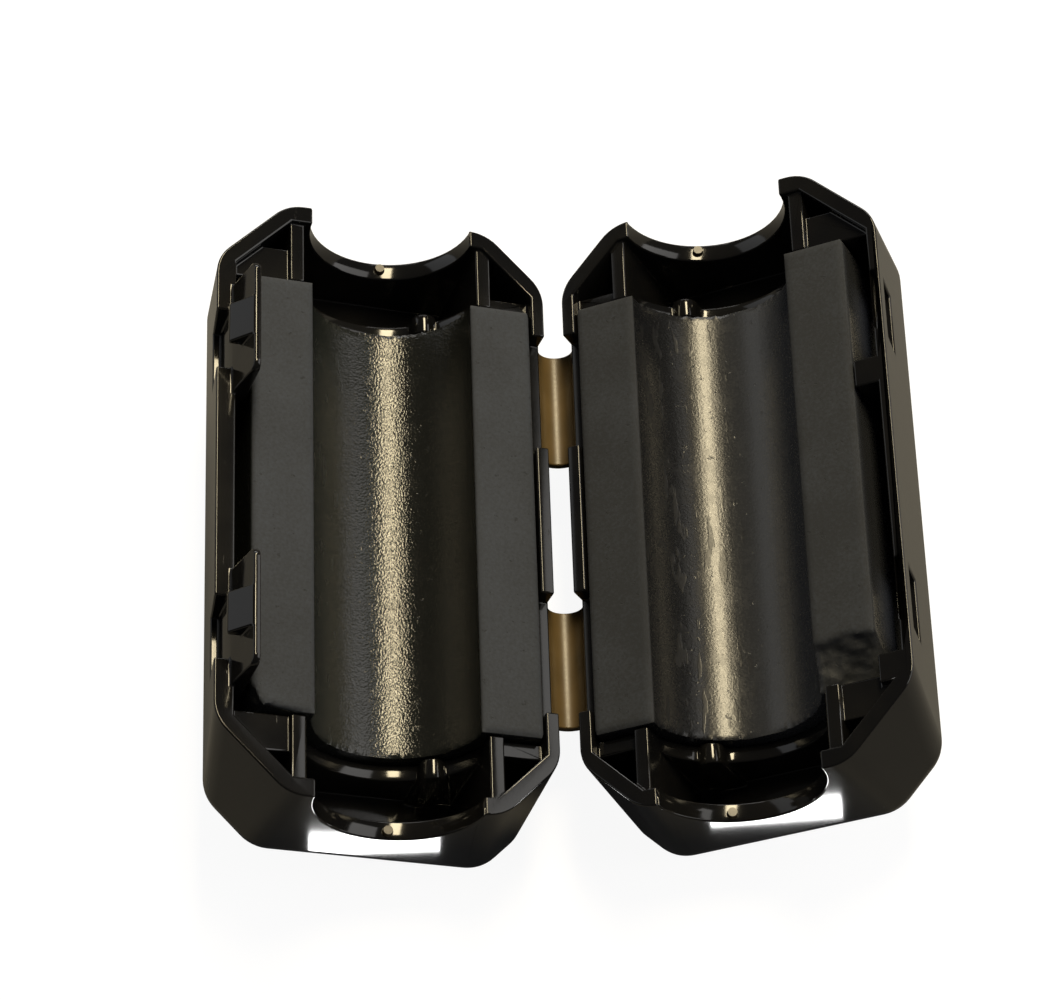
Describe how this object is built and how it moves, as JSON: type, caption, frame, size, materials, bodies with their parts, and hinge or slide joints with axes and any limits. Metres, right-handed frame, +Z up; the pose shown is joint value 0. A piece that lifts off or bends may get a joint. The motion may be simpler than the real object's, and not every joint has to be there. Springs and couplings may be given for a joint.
{
  "type": "open clip-on ferrite bead",
  "caption": "Split ferrite sleeve in a black plastic clip case, lying open like a book, with a half-round cable channel in each half.",
  "frame": {"origin": "on the floor under the hinge line, half way along the case", "axes": "+Z up, +Y along the cable channels towards the rear, +X from the base half towards the cover half"},
  "size_m": [0.0428, 0.0394, 0.0181],
  "materials": {
    "case": "moulded gloss",
    "ferrite": "ground, matt"
  },
  "bodies": {
    "base": {"base_shell": "case", "base_core": "ferrite", "hinge_strap_front": "case", "hinge_strap_rear": "case"},
    "cover": {"cover_shell": "case", "cover_core": "ferrite"}
  },
  "joints": [
    {"name": "cover_hinge", "type": "hinge", "parent": "base", "child": "cover", "pos_m": [0, 0, 0.00789], "axis": [0, -1, 0], "range_deg": [-43, 137], "deforming": ["hinge_strap_front", "hinge_strap_rear"]}
  ]
}
